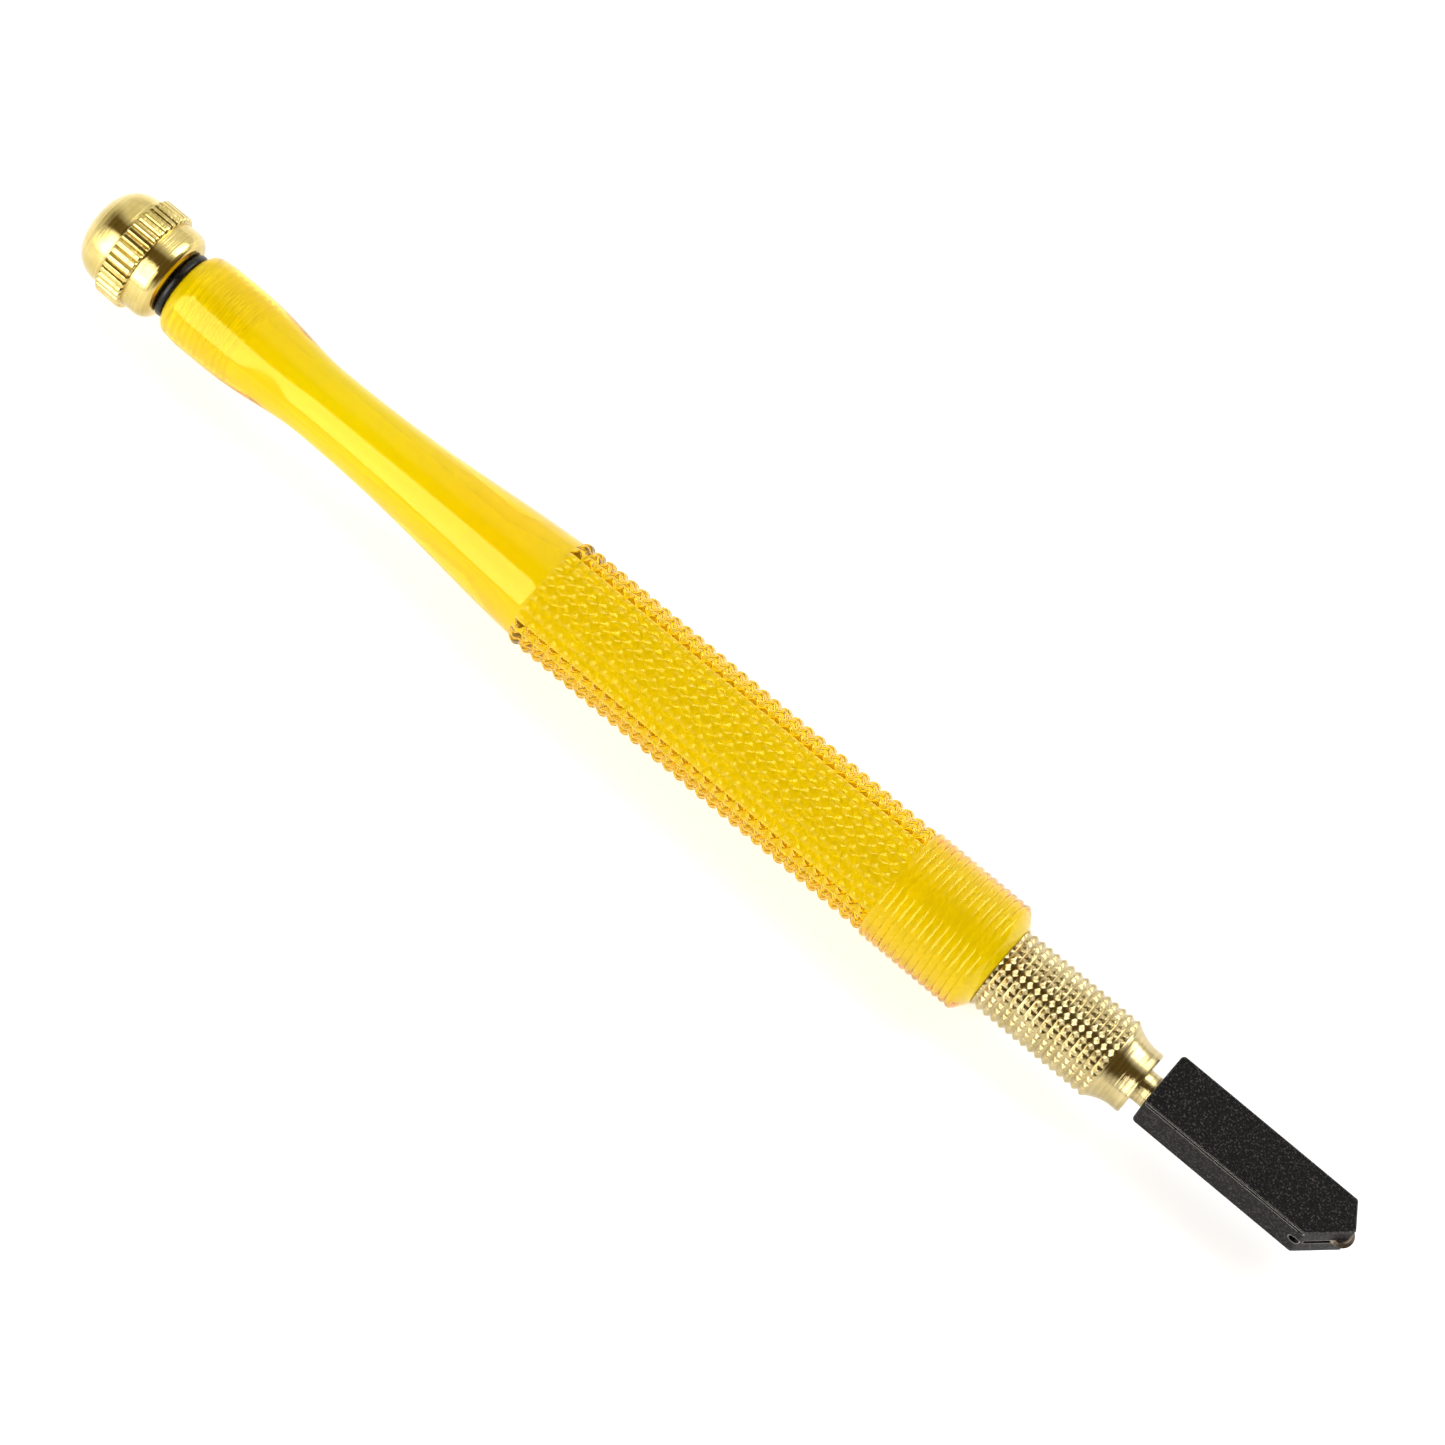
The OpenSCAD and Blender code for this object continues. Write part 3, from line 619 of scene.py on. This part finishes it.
def valve_spring():
    """Coil with closed ends, built at one fixed length over the CAD spring. The real coil shortens
    towards its fixed end as the head is pressed in, but this one does not.
    """
    wire_r, turns, dead_turns, turn_steps, sides, coil_gap = 0.25, 6, 0.75, 40, 12, 0.05
    low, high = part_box("valve_spring")
    start_x, end_x = low.x / MM + wire_r, high.x / MM - wire_r
    coil_r = high.y / MM - wire_r
    # t counts turns along the wire. x rises slowly over the closed end turns, and faster between.
    t = np.linspace(0, turns, turns * turn_steps + 1)[:, None]
    live_turns = turns - 2 * dead_turns
    opened = np.clip(t - dead_turns, 0, live_turns) / live_turns
    closed = np.minimum(t, dead_turns) + np.maximum(t - turns + dead_turns, 0)
    closed_run = 2 * wire_r + coil_gap
    open_run = end_x - start_x - 2 * dead_turns * closed_run
    mid_x = start_x + closed * closed_run + opened * open_run
    b = np.linspace(0, 2 * math.pi, sides + 1)[None, :-1]
    r = coil_r + wire_r * np.cos(b) + 0 * t
    a = 2 * math.pi * t + 0 * b
    vertices = np.stack([mid_x + wire_r * np.sin(b), r * np.cos(a), r * np.sin(a)], -1) * MM
    faces = [(i * sides + k, (i + 1) * sides + k, (i + 1) * sides + (k + 1) % sides,
        i * sides + (k + 1) % sides) for i in range(len(t) - 1) for k in range(sides)]
    faces += [tuple(range(sides)), tuple(range(len(t) * sides - 1, (len(t) - 1) * sides - 1, -1))]
    mesh = bpy.data.meshes.new("valve_coil")
    mesh.from_pydata(vertices.reshape(-1, 3).tolist(), [], faces)
    mesh.shade_smooth()
    mesh.set_sharp_from_angle(angle=math.radians(50))
    coil = new_object("valve_coil", mesh)
    stand_in(coil, "handle", "valve_spring", "steel")
    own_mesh(coil)


# ---------------------------------------------------------------- head block

def cut(target, cutter):
    """Subtracts cutter from target and removes it."""
    change = target.modifiers.new("cut", "BOOLEAN")
    change.operation = "DIFFERENCE"
    change.solver = "EXACT"
    change.object = cutter
    bpy.context.view_layer.update()
    shaped = bpy.data.meshes.new_from_object(
        target.evaluated_get(bpy.context.evaluated_depsgraph_get()))
    target.modifiers.clear()
    old = target.data
    target.data = shaped
    bpy.data.meshes.remove(old)
    bpy.data.objects.remove(cutter)


def bmesh_piece(name, made):
    """An object of a finished bmesh."""
    mesh = bpy.data.meshes.new(name)
    made.to_mesh(mesh)
    made.free()
    return new_object(name, mesh)


def drill(start, direction, radius, length):
    """A round cutter from start along direction, in millimetres."""
    made = bmesh.new()
    turn = Vector((0, 0, 1)).rotation_difference(Vector(direction)).to_matrix().to_4x4()
    middle = Vector(start) + Vector(direction) * length / 2
    bmesh.ops.create_cone(made, cap_ends=True, segments=48, radius1=radius * MM,
        radius2=radius * MM, depth=length * MM, matrix=Matrix.Translation(middle * MM) @ turn)
    return bmesh_piece("drill", made)


def slab(low, high):
    """A box cutter between two corners, in millimetres."""
    made = bmesh.new()
    size = [(h - l) * MM for l, h in zip(low, high)]
    middle = [(h + l) / 2 * MM for l, h in zip(low, high)]
    bmesh.ops.create_cube(made, size=1.0, matrix=Matrix.Translation(middle) @ Matrix.Diagonal((*size, 1)))
    return bmesh_piece("slab", made)


def corner_rounds(outline, radii, steps=5):
    """Outline points with each corner replaced by a round of its own radius."""
    points = []
    for i, (corner, radius) in enumerate(zip(outline, radii)):
        at = Vector(corner)
        before = (Vector(outline[i - 1]) - at).normalized()
        after = (Vector(outline[(i + 1) % len(outline)]) - at).normalized()
        half = before.angle(after) / 2
        middle = at + (before + after).normalized() * radius / math.sin(half)
        start = at + before * radius / math.tan(half) - middle
        end = at + after * radius / math.tan(half) - middle
        for k in range(steps + 1):
            spoke = start.lerp(end, k / steps).normalized() * radius
            points.append(tuple(middle + spoke))
    return points


def head_block():
    """Steel head: a pointed block with its wheel slot, oil port, holes and rim groove cut in."""
    corners = [(HEAD_X, HEAD_LOW_Y), (LOW_BEVEL_X, HEAD_LOW_Y), (TIP_X, TIP_Y - TIP_FLAT / 2),
        (TIP_X, TIP_Y + TIP_FLAT / 2), (HIGH_BEVEL_X, HEAD_HIGH_Y), (HEAD_X, HEAD_HIGH_Y)]
    outline = corner_rounds(corners, HEAD_CORNER_R)
    made = bmesh.new()
    base = [made.verts.new((x * MM, y * MM, -HEAD_T / 2 * MM)) for x, y in outline]
    face = made.faces.new(base)
    up = bmesh.ops.extrude_face_region(made, geom=[face])["geom"]
    raised = [v for v in up if isinstance(v, bmesh.types.BMVert)]
    bmesh.ops.translate(made, verts=raised, vec=(0, 0, HEAD_T * MM))
    bmesh.ops.recalc_face_normals(made, faces=made.faces)
    rims = [e for e in made.edges if abs(e.verts[0].co.z - e.verts[1].co.z) < 1e-7]
    bmesh.ops.bevel(made, geom=rims, offset=HEAD_RIM * MM, segments=3, profile=0.5, affect="EDGES",
        clamp_overlap=True)
    block = bmesh_piece("head_body", made)
    cut(block, slab((SLOT_X, HEAD_LOW_Y - 1, -SLOT_T / 2), (TIP_X + 2, HEAD_HIGH_Y + 1, SLOT_T / 2)))
    inward = Vector((-math.sin(PORT_TILT), math.cos(PORT_TILT), 0))
    port = Vector((PORT_X, HEAD_LOW_Y, 0)) - inward * PORT_R
    cut(block, drill(port, inward, PORT_R, PORT_DEEP))
    cut(block, drill((AXLE_X, TIP_Y, -AXLE_LEN / 2), (0, 0, 1), AXLE_HOLE_R, AXLE_LEN))
    cut(block, drill((SCREW_X, HEAD_HIGH_Y + 0.5, 0), (0, -1, 0), SCREW_R, HEAD_HIGH_Y))
    cut(block, drill((HEAD_X - 0.5, 0, 0), (1, 0, 0), SHANK_R, SHANK_IN + 0.5))
    cut(block, slab((HEAD_X + 0.3, HEAD_LOW_Y - 0.5, SEAM_Z - SEAM_W / 2),
        (LOW_BEVEL_X, HEAD_LOW_Y + SEAM_DEEP, SEAM_Z + SEAM_W / 2)))
    made = bmesh.new()
    made.from_mesh(block.data)
    bmesh.ops.dissolve_limit(made, angle_limit=math.radians(0.5), verts=made.verts, edges=made.edges)
    bmesh.ops.triangulate(made, faces=[f for f in made.faces if len(f.verts) > 4])
    made.to_mesh(block.data)
    made.free()
    block.data.shade_smooth()
    block.data.set_sharp_from_angle(angle=math.radians(40))
    weighted = block.modifiers.new("weighted", "WEIGHTED_NORMAL")
    weighted.keep_sharp = True
    stand_in(block, "head", "head_block", "black_steel")


# ---------------------------------------------------------------- build

for build in (barrel, collar, fill_cap, cap_seal, valve_spring, head_block):
    build()

# CAD nodes that the pieces built above stand for
REBUILT = ("barrel", "collar", "fill_cap", "cap_o_ring", "valve_spring", "head_block")
for row in frame["record"]["subparts"]:
    if row["node"] not in REBUILT:
        node = NODES[row["node"]]
        dress(node, SLOT_LOOKS[row["material_slot"]])
        node.data.shade_smooth()
        node.data.set_sharp_from_angle(angle=math.radians(30))


# ---------------------------------------------------------------- camera

TILT, ROLL, SLANT = math.radians(6.9), math.radians(25), math.radians(39.74)
DISTANCE = 643 * MM
LENS, SENSOR = 149.3, 36
AIM_X, AIM_RIGHT, AIM_UP, AIM_ACROSS = 0.53, 0.644, 0.7725, 0.097  # mm


def place_camera():
    """Looks down at the tool, with the head end nearer and towards the lower right.

    Returns the directions along the tool, across it and back to the camera.
    """
    axis = Vector((1, 0, 0))
    back = Vector((math.sin(TILT), -math.cos(TILT) * math.sin(ROLL), math.cos(TILT) * math.cos(ROLL)))
    along = (axis - back * axis.dot(back)).normalized()
    across = back.cross(along)
    if across.y > 0:
        across = -across
    right = along * math.cos(SLANT) - across * math.sin(SLANT)
    up = -along * math.sin(SLANT) - across * math.cos(SLANT)
    aim = Vector((AIM_X, 0, 0)) * MM + right * AIM_RIGHT * MM + up * AIM_UP * MM
    aim -= across * AIM_ACROSS * MM
    data = bpy.data.cameras.new("camera")
    data.lens = LENS
    data.sensor_width = SENSOR
    data.clip_start = 0.01
    camera = new_object("camera", data)
    turn = Matrix((right, up, back)).transposed().to_4x4()
    camera.matrix_world = Matrix.Translation(aim + back * DISTANCE) @ turn
    bpy.context.scene.camera = camera
    return along, across, back


along, across, back = place_camera()


# ---------------------------------------------------------------- floor and light

def softbox(name, direction, distance, width, height, radiance):
    """An area light of even radiance that looks at the tool from a direction."""
    data = bpy.data.lights.new(name, "AREA")
    data.shape = "RECTANGLE"
    data.size, data.size_y = width, height
    data.energy = radiance * math.pi * width * height
    lamp = new_object(name, data)
    away = direction.normalized()
    turn = away.to_track_quat("Z", "Y").to_matrix().to_4x4()
    lamp.matrix_world = Matrix.Translation(away * distance) @ turn


def floor():
    """Plain pale floor just under the tool."""
    made = bmesh.new()
    bmesh.ops.create_grid(made, x_segments=2, y_segments=2, size=3.0,
        matrix=Matrix.Translation((0, 0, cad_bounds[0].z - 0.0002)))
    piece = bmesh_piece("floor", made)
    look, _, _, shader = material("pale_floor")
    shader.inputs["Base Color"].default_value = (0.85, 0.85, 0.85, 1)
    shader.inputs["Roughness"].default_value = 0.8
    shader.inputs["Emission Color"].default_value = (1, 1, 1, 1)
    shader.inputs["Emission Strength"].default_value = 0.35
    dress(piece, look)


def world(horizon, sky, ceiling):
    """Pale surroundings, with a dark stripe of ceiling along the tool and a dark card at its head."""
    made = bpy.data.worlds.new("studio")
    made.use_nodes = True
    nodes, links = made.node_tree.nodes, made.node_tree.links
    place = nodes.new("ShaderNodeTexCoord")

    def facing(direction):
        """1 towards the direction, 0 square to it and -1 away from it."""
        dot = nodes.new("ShaderNodeVectorMath")
        dot.operation = "DOT_PRODUCT"
        dot.inputs[1].default_value = direction
        links.new(place.outputs["Generated"], dot.inputs[0])
        return dot.outputs["Value"]

    side = maths(nodes, links, "ABSOLUTE", facing(across))
    stripe = ramp(nodes, links, side, [(0.40, ceiling), (0.68, grey(sky))])
    above = ramp(nodes, links, facing((0, 0, 1)), [(0.1, grey(0)), (0.35, grey(1))])
    light = blend_colours(nodes, links, above, (*grey(horizon), 1), stripe)
    at_head = ramp(nodes, links, facing(along), [(0.6, grey(0)), (0.8, grey(1))])
    links.new(blend_colours(nodes, links, at_head, light, (*ceiling, 1)),
        nodes["Background"].inputs["Color"])
    bpy.context.scene.world = made


floor()
world(horizon=1.0, sky=1.15, ceiling=(0.16, 0.115, 0.045))
softbox("rear_box", back * 0.73 + across * 0.48 - along * 0.44,
    distance=0.7, width=0.48, height=0.66, radiance=6)
softbox("front_box", back * 0.36 - across * 0.84 + along * 0.30,
    distance=0.7, width=0.28, height=0.60, radiance=6)
bpy.context.scene.view_settings.view_transform = "Standard"
